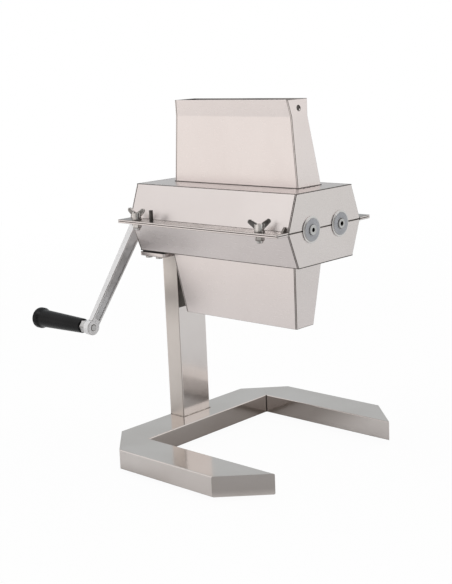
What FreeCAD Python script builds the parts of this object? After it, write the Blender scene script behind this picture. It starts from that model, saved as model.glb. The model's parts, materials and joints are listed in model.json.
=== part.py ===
import FreeCAD, Part
import math
import os

# Hand cranked meat tenderizer: two rollers of toothed blades in a split
# hexagonal housing, on a post and an open base of rectangular tube.
# Millimetres. X runs along the rollers, from the crank end to the idle end,
# -Y is the front and +Z is up. The origin is the middle of the floor area
# that the machine covers. Lengths named from_drive are measured along X from
# the outer face of the housing's drive end.

# Sheet steel, the gap between the two halves, and how far cutting tools overrun
sheet = 2.0
bend_radius = 1.2
joint_gap = 0.3
overrun = 1.0

# Base of rectangular tube
tube_width = 50.0
tube_height = 25.0
tube_wall = 2.0
tube_corner_radius = 1.5
base_half_width = 163.0
base_back_from_drive = 11.5
base_length = 255.5
tip_slant = 52.0
foot_height = 5.0
foot_radius = 8.0
foot_rear_gap = 15.5
foot_tip_inset = 4.0
foot_screw_radius = 2.0
foot_screw_head_radius = 4.0
foot_screw_head_height = 2.0
foot_screw_recess = 1.0
foot_screw_end = 3.0

# Post and mounting plate
post_height = 217.0
post_width = 50.0
post_depth = 25.0
plate_thickness = 5.0
plate_side_inset = 2.0
plate_overhang = 12.0
plate_corner_radius = 4.0
gasket_thickness = 2.5
gasket_inset = 1.0
mount_screw_radius = 2.5
mount_screw_head_radius = 4.5
mount_screw_head_height = 2.6
mount_screw_pitch = 18.5
mount_screw_edge = 5.5
mount_screw_proud = 1.0
mount_nut_flats = 8.0
mount_nut_height = 4.0
mount_nut_wall_gap = 0.75
hole_clearance = 0.25

# Split housing, drawn round the blades
housing_length = 260.0
blade_floor_gap = 10.0
blade_roof_gap = 11.5
blade_side_gap = 10.5
bottom_half_width = 51.0
top_half_width = 51.5
flange_reach = 20.0

# Studs, nuts and the locating pin on the flanges
stud_radius = 3.0
stud_drive_inset = 24.0
stud_idle_inset = 34.0
stud_below_nut_top = 1.0
washer_radius = 6.2
washer_thickness = 1.6
wing_hub_radius = 5.6
wing_hub_height = 7.0
wing_rest_gap = 0.1
wing_tip_radius = 13.3
wing_height = 13.0
wing_thickness = 2.4
wing_lobe_radius = 2.8
wing_lean = 53.0
wing_root_height = 1.5
wing_shoulder_drop = 0.5
wing_turns = {"front_drive": 5.0, "front_idle": 43.0, "rear_drive": 70.0, "rear_idle": 20.0}
acorn_flats = 10.0
acorn_hex_height = 5.5
acorn_dome_radius = 4.7
acorn_dome_rings = 2
pin_radius = 2.5
pin_from_drive = 50.0
pin_above_flange = 13.5

# Feed hopper
hopper_front_y = -12.0
hopper_back_bottom_y = 31.0
hopper_back_fold_y = 17.0
hopper_lip_flare = 3.5
hopper_fold_height = 82.5
hopper_lip_height = 20.0
hopper_end_inset = 29.5
hopper_fold_inset = 36.0
hopper_top_inset = 38.8
hopper_hole_radius = 3.2
hopper_hole_below_rim = 10.5

# Discharge chute
chute_front_y = -34.5
chute_back_top_y = 15.5
chute_back_bottom_y = -3.0
chute_drop = 77.0
chute_post_gap = 2.0
chute_end_slant = 20.5
chute_idle_inset = 19.0

# Rollers, gears and combs
gear_module = 3.0
gear_teeth = 18
gear_width = 14.0
gear_pressure_angle = 20.0
gear_backlash = 0.30
gear_root_gap = 0.25
hex_flats = 16.0
hex_fit = 0.1
spacer_radius = 17.0
spacer_sides = 16
blade_overlap = 3.0
blade_tooth_depth = 4.0
blade_teeth = 12
blade_tooth_back = 0.25
blade_turn_steps = 3
blade_thickness = 1.6
blade_pitch = 12.5
blade_end_gap = 10.0
comb_thickness = 2.0
comb_gap = 0.5
comb_side_gap = 1.0
comb_top_below_axis = 3.0

# Bushes and shafts
stub_step = 2.0
running_gap = 0.05
bush_body_radius = 13.5
bush_flange_width = 2.1
bush_plate_gap = 0.1
bush_inner_length = 6.0
bush_flange_thickness = 1.2
bush_face_thickness = 0.8
bush_seat_gap = 0.15
axial_play = 0.5
stub_proud = 1.5
centre_hole_radius = 2.5
centre_hole_depth = 4.0

# Crank and grip
crank_length = 165.0
crank_angle = 37.3
arm_face_from_drive = -14.0
arm_hub_width = 16.5
arm_eye_width = 13.5
arm_hub_thickness = 11.0
arm_eye_thickness = 6.5
arm_groove_depth = 1.2
arm_groove_rim = 2.6
hub_radius = 13.0
hub_bush_gap = 2.0
eye_radius = 9.5
eye_thickness = 9.0
tenon_flats = 11.0
tenon_fit = 0.05
crank_screw_radius = 3.0
crank_screw_depth = 14.0
crank_screw_tip_gap = 2.0
crank_screw_head_flats = 10.0
crank_screw_head_height = 4.0
crank_washer_radius = 9.0
crank_washer_thickness = 1.6
spindle_radius = 4.0
spindle_proud = 0.6
spindle_head_radius = 6.5
spindle_head_thickness = 3.0
collar_flats = 15.0
collar_length = 9.0
grip_length = 91.0
grip_inner_radius = 9.3
grip_outer_radius = 11.5
grip_flange_radius = 13.6
grip_flange_length = 6.0
grip_flange_flare = 4.0
grip_inner_chamfer = 1.2
grip_end_round = 3.0
grip_end_gap = 0.3
grip_head_recess_gap = 0.5

# Rollers: their axes lie a gear pitch radius to each side of the middle
roller_half = gear_module * gear_teeth / 2
roller_sides = {"drive": -1, "driven": 1}
gear_tip_radius = roller_half + gear_module
blade_radius = roller_half + blade_overlap
sweep_radius = max(blade_radius, gear_tip_radius)
journal_radius = hex_flats / 2
stub_radius = journal_radius - stub_step
bush_flange_radius = bush_body_radius + bush_flange_width

# Housing section
tub_depth = blade_radius + blade_floor_gap + sheet
cover_height = blade_radius + blade_roof_gap + sheet
joint_half_width = roller_half + blade_radius + blade_side_gap
plate_half_width = bottom_half_width - plate_side_inset

# Heights, from the floor up
z_base_bottom = foot_height
z_base_top = z_base_bottom + tube_height
z_plate = z_base_top + post_height
z_gasket = z_plate + plate_thickness
z_tub_bottom = z_gasket + gasket_thickness
z_axis = z_tub_bottom + tub_depth
z_cover_top = z_axis + cover_height
z_fold = z_cover_top + hopper_fold_height
z_rim = z_fold + hopper_lip_height
z_chute_bottom = z_tub_bottom - chute_drop
z_washer = z_axis + joint_gap + sheet
z_wing = z_washer + washer_thickness + wing_rest_gap

# Lengths along X, centred on the floor area
grip_inner_end = arm_face_from_drive - eye_thickness - collar_length - grip_end_gap
grip_outer_end = grip_inner_end - grip_length
base_tip_from_drive = base_back_from_drive + base_length
x_drive = -(grip_outer_end + base_tip_from_drive) / 2
x_idle = x_drive + housing_length
x_mid = x_drive + housing_length / 2
x_base_back = x_drive + base_back_from_drive
x_base_inner = x_base_back + tube_width
x_base_tip = x_base_back + base_length
x_arm_face = x_drive + arm_face_from_drive

# Mounting screws: the first pair stands clear of the end plate inside the tub
x_screw_first = x_drive + sheet + mount_nut_flats / 2 + mount_nut_wall_gap
x_screws = [x_screw_first, x_screw_first + mount_screw_pitch]
y_screw = plate_half_width - mount_screw_edge
x_plate_back = x_screw_first - plate_overhang
x_plate_front = x_base_back + post_depth + chute_post_gap

# Chute, clear of the mounting plate
x_chute_top = x_plate_front + chute_post_gap
x_chute_low = x_chute_top + chute_end_slant
x_chute_idle = x_idle - chute_idle_inset

# Base corners and feet
y_arm_outer = base_half_width
y_arm_inner = base_half_width - tube_width
x_arm_outer_tip = x_base_tip - tip_slant
y_foot = (y_arm_outer + y_arm_inner) / 2
x_feet = [x_base_inner + foot_rear_gap, x_arm_outer_tip - foot_tip_inset]

# Flange fastenings
y_stud = joint_half_width + flange_reach / 2
x_studs = [x_drive + stud_drive_inset, x_idle - stud_idle_inset]
x_pin = x_drive + pin_from_drive

ALONG_X = FreeCAD.Vector(1, 0, 0)
ALONG_Y = FreeCAD.Vector(0, 1, 0)
ALONG_Z = FreeCAD.Vector(0, 0, 1)
NEARLY_ZERO = 1e-6


def export(name, shape):
    shape.exportStep(os.path.join("parts", name + ".step"))


def polygon(points):
    wire = Part.makePolygon(points + [points[0]])
    return Part.Face(wire)


def prism_x(yz, x0, x1):
    face = polygon([FreeCAD.Vector(x0, y, z) for y, z in yz])
    return face.extrude(FreeCAD.Vector(x1 - x0, 0, 0))


def prism_y(xz, y0, y1):
    face = polygon([FreeCAD.Vector(x, y0, z) for x, z in xz])
    return face.extrude(FreeCAD.Vector(0, y1 - y0, 0))


def prism_z(xy, z0, z1):
    face = polygon([FreeCAD.Vector(x, y, z0) for x, y in xy])
    return face.extrude(FreeCAD.Vector(0, 0, z1 - z0))


def block(x0, x1, y0, y1, z0, z1):
    corner = FreeCAD.Vector(min(x0, x1), min(y0, y1), min(z0, z1))
    return Part.makeBox(abs(x1 - x0), abs(y1 - y0), abs(z1 - z0), corner)


def rod_x(radius, x0, x1, y, z):
    start = FreeCAD.Vector(min(x0, x1), y, z)
    return Part.makeCylinder(radius, abs(x1 - x0), start, ALONG_X)


def rod_z(radius, x, y, z0, z1):
    start = FreeCAD.Vector(x, y, min(z0, z1))
    return Part.makeCylinder(radius, abs(z1 - z0), start, ALONG_Z)


def regular_points(flats, sides):
    corner = flats / 2 / math.cos(math.pi / sides)
    angles = [2 * math.pi * (k + 0.5) / sides for k in range(sides)]
    return [(corner * math.cos(a), corner * math.sin(a)) for a in angles]


def bar_x(flats, sides, x0, x1, y, z):
    return prism_x([(y + a, z + b) for a, b in regular_points(flats, sides)], x0, x1)


def bar_z(flats, sides, x, y, z0, z1):
    return prism_z([(x + a, y + b) for a, b in regular_points(flats, sides)], z0, z1)


def turned_x(profile, y, z):
    # profile holds (x, radius) points from one end of the axis to the other
    points = [FreeCAD.Vector(x, 0, r) for x, r in profile]
    face = polygon(points)
    solid = face.revolve(FreeCAD.Vector(0, 0, 0), ALONG_X, 360)
    solid.translate(FreeCAD.Vector(0, y, z))
    return solid


def ruled_through(circles, axis):
    # a solid with straight sides through circles, given as (centre, radius)
    rings = [Part.Wire(Part.makeCircle(radius, centre, axis)) for centre, radius in circles]
    return Part.makeLoft(rings, True, True)


def cut_all(shape, tools):
    for tool in tools:
        shape = shape.cut(tool)
    return shape


def one_solid(shape):
    return shape.removeSplitter()


def edges_along(shape, axis):
    return [e for e in shape.Edges if e.tangentAt(e.FirstParameter).cross(axis).Length < NEARLY_ZERO]


def low_and_high(shape, axis):
    # two opposite panels, the one with the lower place along the axis first
    return sorted(shape.Solids, key=lambda solid: getattr(solid.CenterOfMass, axis))


def round_bends(shape, y, z):
    # rounds the edges of a sheet that run along X at (y, z)
    bends = [e for e in edges_along(shape, ALONG_X)
             if math.hypot(e.CenterOfMass.y - y, e.CenterOfMass.z - z) < joint_gap]
    return shape.makeFillet(bend_radius, bends)


# Housing outline: half widths of the outer and inner faces at a height
tub_slope = (joint_half_width - bottom_half_width) / tub_depth
cover_slope = (joint_half_width - top_half_width) / cover_height
tub_skin = sheet * math.hypot(1, tub_slope)
cover_skin = sheet * math.hypot(1, cover_slope)


def tub_outer(z):
    return bottom_half_width + (z - z_tub_bottom) * tub_slope


def tub_inner(z):
    return tub_outer(z) - tub_skin


def cover_outer(z):
    return joint_half_width - (z - z_axis) * cover_slope


def cover_inner(z):
    return cover_outer(z) - cover_skin


# Base: a back bar mitred to two arms, with the outer corners cut off and the
# arms' free ends cut back on the outside; every open end has a welded cap
def tube(x0, x1, y0, y1, z0, z1, axis):
    # rectangular tube along one axis, open at both ends
    outer = block(x0, x1, y0, y1, z0, z1)
    outer = outer.makeFillet(tube_corner_radius, edges_along(outer, axis))
    wall = [0 if axis[k] else tube_wall for k in range(3)]
    inner = block(x0 + wall[0], x1 - wall[0], y0 + wall[1], y1 - wall[1], z0 + wall[2], z1 - wall[2])
    return outer, outer.cut(inner)


def cap_plate(p, q, side):
    # a plate across a cut tube end, on the line from p to q and inwards from it
    length = math.hypot(q[0] - p[0], q[1] - p[1])
    nx = -(q[1] - p[1]) / length * tube_wall * side
    ny = (q[0] - p[0]) / length * tube_wall * side
    outline = [p, q, (q[0] + nx, q[1] + ny), (p[0] + nx, p[1] + ny)]
    return prism_z(outline, z_base_bottom, z_base_top)


def corner_points(side):
    # the mitre runs from the inner corner to the middle of the cut-off corner
    middle = (x_base_inner - tube_width / 2, side * (y_arm_inner + tube_width / 2))
    return (x_base_inner, side * y_arm_inner), middle


def make_base():
    inner_front, middle_front = corner_points(-1)
    inner_rear, middle_rear = corner_points(1)
    bar_outline = prism_z([(x_base_back, -y_arm_inner), middle_front, inner_front,
                           inner_rear, middle_rear, (x_base_back, y_arm_inner)],
                          z_base_bottom, z_base_top)
    bar_full, bar = tube(x_base_back, x_base_inner, -y_arm_outer, y_arm_outer,
                         z_base_bottom, z_base_top, ALONG_Y)
    bar = bar.common(bar_outline)
    arms = []
    corner_caps = []
    tip_caps = []
    for side in (-1, 1):
        inner, middle = corner_points(side)
        outline = prism_z([inner, middle, (x_base_inner, side * y_arm_outer),
                           (x_arm_outer_tip, side * y_arm_outer), (x_base_tip, side * y_arm_inner)],
                          z_base_bottom, z_base_top)
        y_low, y_high = sorted((side * y_arm_inner, side * y_arm_outer))
        arm_full, arm = tube(x_base_back, x_base_tip, y_low, y_high, z_base_bottom, z_base_top, ALONG_X)
        arm = arm.common(outline)
        corner = cap_plate((x_base_back, side * y_arm_inner), (x_base_inner, side * y_arm_outer), -side)
        tip = cap_plate((x_base_tip, side * y_arm_inner), (x_arm_outer_tip, side * y_arm_outer), side)
        bar = bar.cut(corner)
        arms.append(cut_all(arm, [corner, tip] + foot_holes(side)))
        corner_caps.append(corner.common(bar_full.common(bar_outline).fuse(arm_full.common(outline))))
        tip_caps.append(tip.common(arm_full.common(outline)))
    return bar, arms, [one_solid(cap) for cap in corner_caps], tip_caps


def foot_holes(side):
    return [rod_z(foot_screw_radius + hole_clearance, x, side * y_foot,
                  z_base_bottom - overrun, z_base_bottom + tube_wall + overrun) for x in x_feet]


def make_feet():
    feet = []
    screws = []
    z_head = foot_screw_recess
    z_shank = z_head + foot_screw_head_height
    for side in (-1, 1):
        for x in x_feet:
            y = side * y_foot
            disc = rod_z(foot_radius, x, y, 0, foot_height)
            recess = rod_z(foot_screw_head_radius + hole_clearance, x, y, 0, z_shank)
            bore = rod_z(foot_screw_radius + hole_clearance, x, y, 0, foot_height)
            feet.append(disc.cut(recess).cut(bore))
            head = rod_z(foot_screw_head_radius, x, y, z_head, z_shank)
            shank = rod_z(foot_screw_radius, x, y, z_shank, z_base_bottom + tube_wall + foot_screw_end)
            screws.append(head.fuse(shank))
    return feet, screws


def make_post():
    _, post = tube(x_base_back, x_base_back + post_depth, -post_width / 2, post_width / 2,
                   z_base_top, z_plate, ALONG_Z)
    return post


def mount_screw_places():
    return [(x, side * y_screw) for x in x_screws for side in (-1, 1)]


def mount_holes(z0, z1):
    return [rod_z(mount_screw_radius + hole_clearance, x, y, z0 - overrun, z1 + overrun)
            for x, y in mount_screw_places()]


def make_top_plate():
    plate = block(x_plate_back, x_plate_front, -plate_half_width, plate_half_width, z_plate, z_gasket)
    plate = plate.makeFillet(plate_corner_radius, edges_along(plate, ALONG_Z))
    return cut_all(plate, mount_holes(z_plate, z_gasket))


def make_gasket():
    # a rubber pad under the tub, a little inside the plate's outline
    y = plate_half_width - gasket_inset
    pad = block(x_drive, x_plate_front, -y, y, z_gasket, z_tub_bottom)
    return cut_all(pad, mount_holes(z_gasket, z_tub_bottom))


def make_mount_screws():
    screws = []
    nuts = []
    z_nut = z_tub_bottom + sheet
    for x, y in mount_screw_places():
        head = rod_z(mount_screw_head_radius, x, y, z_plate - mount_screw_head_height, z_plate)
        shank = rod_z(mount_screw_radius, x, y, z_plate, z_nut + mount_nut_height + mount_screw_proud)
        screws.append(head.fuse(shank))
        nut = bar_z(mount_nut_flats, 6, x, y, z_nut, z_nut + mount_nut_height)
        nuts.append(nut.cut(rod_z(mount_screw_radius, x, y, z_nut, z_nut + mount_nut_height)))
    return screws, nuts


# Tub and cover sheets
def flange_holes(side, z0, z1):
    places = [(x, stud_radius) for x in x_studs]
    if side < 0:
        places.append((x_pin, pin_radius))
    return [rod_z(radius + hole_clearance, x, side * y_stud, z0 - overrun, z1 + overrun)
            for x, radius in places]


def make_tub_side(side):
    z0 = z_axis - sheet
    edge = joint_half_width + flange_reach
    wall = prism_x([(side * tub_outer(z_tub_bottom), z_tub_bottom), (side * tub_outer(z0), z0),
                    (side * joint_half_width, z0), (side * joint_half_width, z_axis),
                    (side * tub_inner(z_axis), z_axis), (side * tub_inner(z_tub_bottom), z_tub_bottom)],
                   x_drive + sheet, x_idle - sheet)
    wall = round_bends(wall, side * bottom_half_width, z_tub_bottom)
    flange = block(x_drive, x_idle, side * joint_half_width, side * edge, z0, z_axis)
    return cut_all(one_solid(wall.fuse(flange)), flange_holes(side, z0, z_axis))


def make_cover_side(side):
    z0 = z_axis + joint_gap
    z1 = z0 + sheet
    edge = joint_half_width + flange_reach
    wall = prism_x([(side * joint_half_width, z0), (side * joint_half_width, z1),
                    (side * cover_outer(z1), z1), (side * cover_outer(z_cover_top), z_cover_top),
                    (side * cover_inner(z_cover_top), z_cover_top), (side * cover_inner(z0), z0)],
                   x_drive + sheet, x_idle - sheet)
    wall = round_bends(wall, side * top_half_width, z_cover_top)
    flange = block(x_drive, x_idle, side * joint_half_width, side * edge, z0, z1)
    return cut_all(one_solid(wall.fuse(flange)), flange_holes(side, z0, z1))


def seat_cuts(x0, x1):
    return [rod_x(bush_body_radius + bush_seat_gap, x0 - overrun, x1 + overrun, side * roller_half, z_axis)
            for side in roller_sides.values()]


def make_tub_end(x0, x1):
    a = bottom_half_width
    b = joint_half_width
    plate = prism_x([(-a, z_tub_bottom), (a, z_tub_bottom), (b, z_axis), (-b, z_axis)], x0, x1)
    for side in (-1, 1):
        plate = round_bends(plate, side * a, z_tub_bottom)
    return cut_all(plate, seat_cuts(x0, x1))


def make_cover_end(x0, x1):
    z0 = z_axis + joint_gap
    a = cover_outer(z0)
    b = top_half_width
    plate = prism_x([(-a, z0), (a, z0), (b, z_cover_top), (-b, z_cover_top)], x0, x1)
    for side in (-1, 1):
        plate = round_bends(plate, side * b, z_cover_top)
    return cut_all(plate, seat_cuts(x0, x1))


# Chute: front and idle end upright, back and drive end leaning in
chute_end_skin = sheet * math.hypot(1, chute_end_slant / chute_drop)
chute_back_lean = chute_back_top_y - chute_back_bottom_y
chute_back_skin = sheet * math.hypot(1, chute_back_lean / chute_drop)


def chute_xz(skin_drive, skin_idle):
    return [(x_chute_top + skin_drive, z_tub_bottom), (x_chute_idle - skin_idle, z_tub_bottom),
            (x_chute_idle - skin_idle, z_chute_bottom), (x_chute_low + skin_drive, z_chute_bottom)]


def chute_yz(skin_front, skin_back):
    return [(chute_front_y + skin_front, z_tub_bottom), (chute_back_top_y - skin_back, z_tub_bottom),
            (chute_back_bottom_y - skin_back, z_chute_bottom), (chute_front_y + skin_front, z_chute_bottom)]


def make_chute():
    x0 = x_chute_top - overrun
    x1 = x_chute_idle + overrun
    y0 = chute_front_y - overrun
    y1 = chute_back_top_y + overrun
    outer_yz = prism_x(chute_yz(0, 0), x0, x1)
    inner_yz = prism_x(chute_yz(sheet, chute_back_skin), x0, x1)
    outer_xz = prism_y(chute_xz(0, 0), y0, y1)
    inner_xz = prism_y(chute_xz(chute_end_skin, sheet), y0, y1)
    front, back = low_and_high(outer_yz.cut(inner_yz).common(inner_xz), "y")
    drive_end, idle_end = low_and_high(outer_xz.cut(inner_xz).common(outer_yz), "x")
    return front, back, drive_end, idle_end


def make_tub_bottom():
    z1 = z_tub_bottom + sheet
    plate = prism_x([(-tub_inner(z_tub_bottom), z_tub_bottom), (tub_inner(z_tub_bottom), z_tub_bottom),
                     (tub_inner(z1), z1), (-tub_inner(z1), z1)], x_drive + sheet, x_idle - sheet)
    outlet = block(x_chute_top + chute_end_skin, x_chute_idle - sheet,
                   chute_front_y + sheet, chute_back_top_y - chute_back_skin,
                   z_tub_bottom - overrun, z1 + overrun)
    return cut_all(plate, [outlet] + mount_holes(z_tub_bottom, z1))


# Hopper: four leaning panels, the top band flared towards the front and back
hopper_back_top_y = hopper_back_fold_y + hopper_lip_flare
hopper_front_top_y = hopper_front_y - hopper_lip_flare


def hopper_xz(skin):
    rows = [(hopper_end_inset, z_cover_top), (hopper_fold_inset, z_fold), (hopper_top_inset, z_rim)]
    left = [(x_drive + inset + skin, z) for inset, z in rows]
    right = [(x_idle - inset - skin, z) for inset, z in reversed(rows)]
    return left + right


def hopper_yz(skin):
    return [(hopper_front_y + skin, z_cover_top), (hopper_front_y + skin, z_fold),
            (hopper_front_top_y + skin, z_rim), (hopper_back_top_y - skin, z_rim),
            (hopper_back_fold_y - skin, z_fold), (hopper_back_bottom_y - skin, z_cover_top)]


def make_hopper():
    y0 = hopper_front_top_y - sheet
    y1 = hopper_back_bottom_y + sheet
    x0 = x_drive
    x1 = x_idle
    outer_yz = prism_x(hopper_yz(0), x0, x1)
    inner_yz = prism_x(hopper_yz(sheet), x0, x1)
    outer_xz = prism_y(hopper_xz(0), y0, y1)
    inner_xz = prism_y(hopper_xz(sheet), y0, y1)
    front, back = low_and_high(outer_yz.cut(inner_yz).common(inner_xz), "y")
    drive_end, idle_end = low_and_high(outer_xz.cut(inner_xz).common(outer_yz), "x")
    y_hole = (hopper_front_top_y + hopper_back_top_y) / 2
    idle_end = idle_end.cut(rod_x(hopper_hole_radius, x_mid, x_idle, y_hole, z_rim - hopper_hole_below_rim))
    return front, back, drive_end, idle_end


def make_cover_top():
    z0 = z_cover_top - sheet
    plate = prism_x([(-cover_inner(z0), z0), (cover_inner(z0), z0),
                     (cover_inner(z_cover_top), z_cover_top), (-cover_inner(z_cover_top), z_cover_top)],
                    x_drive + sheet, x_idle - sheet)
    mouth = block(x_drive + hopper_end_inset + sheet, x_idle - hopper_end_inset - sheet,
                  hopper_front_y + sheet, hopper_back_bottom_y - sheet, z0 - overrun, z_cover_top + overrun)
    return plate.cut(mouth)


# Flange fastenings
def make_dome(x, y, z):
    # the closed end of a domed nut, hanging from z
    angles = [math.pi / 2 * k / acorn_dome_rings for k in range(acorn_dome_rings)]
    circles = [(FreeCAD.Vector(x, y, z - acorn_dome_radius * math.sin(a)), acorn_dome_radius * math.cos(a))
               for a in angles]
    return ruled_through(circles, ALONG_Z)


def make_studs():
    studs = []
    acorns = []
    z_under = z_axis - sheet
    z_top = z_wing + wing_hub_height - stud_below_nut_top
    for side in (-1, 1):
        for x in x_studs:
            y = side * y_stud
            z_low = z_under - acorn_hex_height
            studs.append(rod_z(stud_radius, x, y, z_low, z_top))
            hexagon = bar_z(acorn_flats, 6, x, y, z_low, z_under)
            nut = hexagon.fuse(make_dome(x, y, z_low)).cut(rod_z(stud_radius, x, y, z_low, z_under))
            acorns.append(one_solid(nut))
    return studs, acorns


def make_washers():
    rings = []
    z_top = z_washer + washer_thickness
    for side in (-1, 1):
        for x in x_studs:
            ring = rod_z(washer_radius, x, side * y_stud, z_washer, z_top)
            rings.append(ring.cut(rod_z(stud_radius + hole_clearance, x, side * y_stud, z_washer, z_top)))
    return rings


def wing_profile(y):
    # one wing springs from the hub, leans outwards and ends in a round lobe
    lean = math.radians(wing_lean)
    out = wing_lobe_radius * math.sin(lean)
    up = wing_lobe_radius * math.cos(lean)
    lobe_x = wing_tip_radius - wing_lobe_radius
    lobe_z = wing_height - wing_lobe_radius
    root = FreeCAD.Vector(0, y, wing_root_height)
    foot = FreeCAD.Vector(wing_hub_radius, y, wing_root_height)
    low = FreeCAD.Vector(lobe_x + out, y, lobe_z - up)
    tip = FreeCAD.Vector(lobe_x + up, y, lobe_z + out)
    high = FreeCAD.Vector(lobe_x - out, y, lobe_z + up)
    shoulder = FreeCAD.Vector(0, y, wing_hub_height - wing_shoulder_drop)
    edges = [Part.makeLine(root, foot), Part.makeLine(foot, low), Part.Arc(low, tip, high).toShape(),
             Part.makeLine(high, shoulder), Part.makeLine(shoulder, root)]
    return Part.Face(Part.Wire(edges))


def make_wing_nut(x, y, turn):
    nut = Part.makeCylinder(wing_hub_radius, wing_hub_height)
    for half_turn in (0, 180):
        wing = wing_profile(-wing_thickness / 2).extrude(FreeCAD.Vector(0, wing_thickness, 0))
        wing.rotate(FreeCAD.Vector(0, 0, 0), ALONG_Z, half_turn)
        nut = nut.fuse(wing)
    nut = one_solid(nut.cut(Part.makeCylinder(stud_radius + running_gap, wing_height)))
    nut.rotate(FreeCAD.Vector(0, 0, 0), ALONG_Z, turn)
    nut.translate(FreeCAD.Vector(x, y, z_wing))
    return nut


def wing_place(name):
    side = -1 if name.startswith("front") else 1
    x = x_studs[0] if name.endswith("drive") else x_studs[1]
    return x, side * y_stud


def make_pin():
    return rod_z(pin_radius, x_pin, -y_stud, z_axis - sheet, z_washer + pin_above_flange)


# Bushes, held by the end plates between their two flanges
def make_bush(x_face, way, side, shaft_radius):
    # x_face is the housing's outer face, and way is 1 where outwards is +X
    bore = shaft_radius + running_gap
    x_in = x_face - way * (sheet + bush_inner_length)
    x_plate = x_face - way * (sheet + bush_plate_gap)
    x_groove = x_face + way * bush_plate_gap
    x_flange = x_face + way * bush_flange_thickness
    x_out = x_flange + way * bush_face_thickness
    profile = [(x_in, bore), (x_in, bush_flange_radius), (x_plate, bush_flange_radius),
               (x_plate, bush_body_radius), (x_groove, bush_body_radius), (x_groove, bush_flange_radius),
               (x_flange, bush_flange_radius), (x_flange, bush_body_radius), (x_out, bush_body_radius),
               (x_out, bore)]
    return turned_x(profile, side * roller_half, z_axis)


# Shafts: a hexagon carries the gear, blades and spacers between two journals
x_hex_start = x_drive + sheet + bush_inner_length + axial_play
x_hex_end = x_idle - sheet - bush_inner_length - axial_play
x_gear_end = x_hex_start + gear_width
stub_reach = bush_flange_thickness + bush_face_thickness + stub_proud


def stub(x_shoulder, x_face, way, y):
    # the thinner journal, with a centre hole in its end
    x_end = x_face + way * stub_reach
    rod = rod_x(stub_radius, x_shoulder, x_end, y, z_axis)
    return rod.cut(rod_x(centre_hole_radius, x_end - way * centre_hole_depth, x_end, y, z_axis))


x_tenon = x_drive - bush_flange_thickness - bush_face_thickness
x_hub_inner = x_tenon - hub_bush_gap
x_hub_outer = x_arm_face - arm_hub_thickness
x_tenon_end = x_hub_outer + axial_play


def make_shaft(side):
    y = side * roller_half
    shaft = bar_x(hex_flats, 6, x_hex_start, x_hex_end, y, z_axis)
    shaft = shaft.fuse(stub(x_hex_end, x_idle, 1, y))
    if side < 0:
        shaft = shaft.fuse(rod_x(journal_radius, x_hub_inner, x_hex_start, y, z_axis))
        tenon = bar_x(tenon_flats, 4, x_tenon_end, x_hub_inner, y, z_axis)
        tapped = rod_x(crank_screw_radius, x_tenon_end, x_tenon_end + crank_screw_depth, y, z_axis)
        shaft = shaft.fuse(tenon).cut(tapped)
    else:
        shaft = shaft.fuse(stub(x_hex_start, x_drive, -1, y))
    return one_solid(shaft)


def hex_bore(x0, x1, y):
    return bar_x(hex_flats + 2 * hex_fit, 6, x0 - overrun, x1 + overrun, y, z_axis)


def blade_outline(y, turn):
    # saw teeth with a long cutting slope and a steep back
    step = 2 * math.pi / blade_teeth
    root = blade_radius - blade_tooth_depth
    points = []
    for k in range(blade_teeth):
        a = turn + k * step
        points.append((y + blade_radius * math.cos(a), z_axis + blade_radius * math.sin(a)))
        b = a + step * blade_tooth_back
        points.append((y + root * math.cos(b), z_axis + root * math.sin(b)))
    return points


# As many blades as fit between the gear and the same place at the idle end
blade_count = int(2 * (x_mid - x_gear_end - blade_end_gap) / blade_pitch) + 1


def blade_places(side):
    count = blade_count if side < 0 else blade_count - 1
    first = x_mid - (count - 1) * blade_pitch / 2
    return [first + k * blade_pitch for k in range(count)]


def make_blades(side):
    y = side * roller_half
    discs = []
    for k, x in enumerate(blade_places(side)):
        # every blade is turned a little further, so that the teeth cut one after another
        turn = k * 2 * math.pi / blade_teeth / blade_turn_steps
        x0 = x - blade_thickness / 2
        x1 = x + blade_thickness / 2
        discs.append(prism_x(blade_outline(y, turn), x0, x1).cut(hex_bore(x0, x1, y)))
    return discs


def make_spacers(side):
    # rings that fill the shaft between the gear, the blades and the idle end's shoulder
    y = side * roller_half
    flats = 2 * spacer_radius * math.cos(math.pi / spacer_sides)
    starts = [x_gear_end] + [x + blade_thickness / 2 for x in blade_places(side)]
    ends = [x - blade_thickness / 2 for x in blade_places(side)] + [x_hex_end]
    return [bar_x(flats, spacer_sides, x0, x1, y, z_axis).cut(hex_bore(x0, x1, y))
            for x0, x1 in zip(starts, ends)]


def involute_angle(radius, base):
    t = math.sqrt(max((radius / base) ** 2 - 1, 0))
    return t - math.atan(t)


def gear_outline(y, turn):
    pitch_r = roller_half
    tip_r = gear_tip_radius
    root_r = pitch_r - gear_module * (1 + gear_root_gap)
    base_r = pitch_r * math.cos(math.radians(gear_pressure_angle))
    half_tooth = math.pi / 2 / gear_teeth - gear_backlash / 2 / pitch_r
    offset = half_tooth + involute_angle(pitch_r, base_r)
    flank = [base_r, (base_r + tip_r) / 2, tip_r]
    step = 2 * math.pi / gear_teeth
    points = []
    for k in range(gear_teeth):
        a = turn + k * step
        rise = [(root_r, -offset)] + [(r, -offset + involute_angle(r, base_r)) for r in flank]
        fall = [(r, -angle) for r, angle in reversed(rise)]
        for r, angle in rise + fall:
            points.append((y + r * math.cos(a + angle), z_axis + r * math.sin(a + angle)))
    return points


def make_gear(side):
    # the drive gear points a tooth at the driven gear, which turns a gap to it
    y = side * roller_half
    turn = 0.0 if side < 0 else math.pi + math.pi / gear_teeth
    teeth = prism_x(gear_outline(y, turn), x_hex_start, x_gear_end)
    return teeth.cut(hex_bore(x_hex_start, x_gear_end, y))


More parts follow.
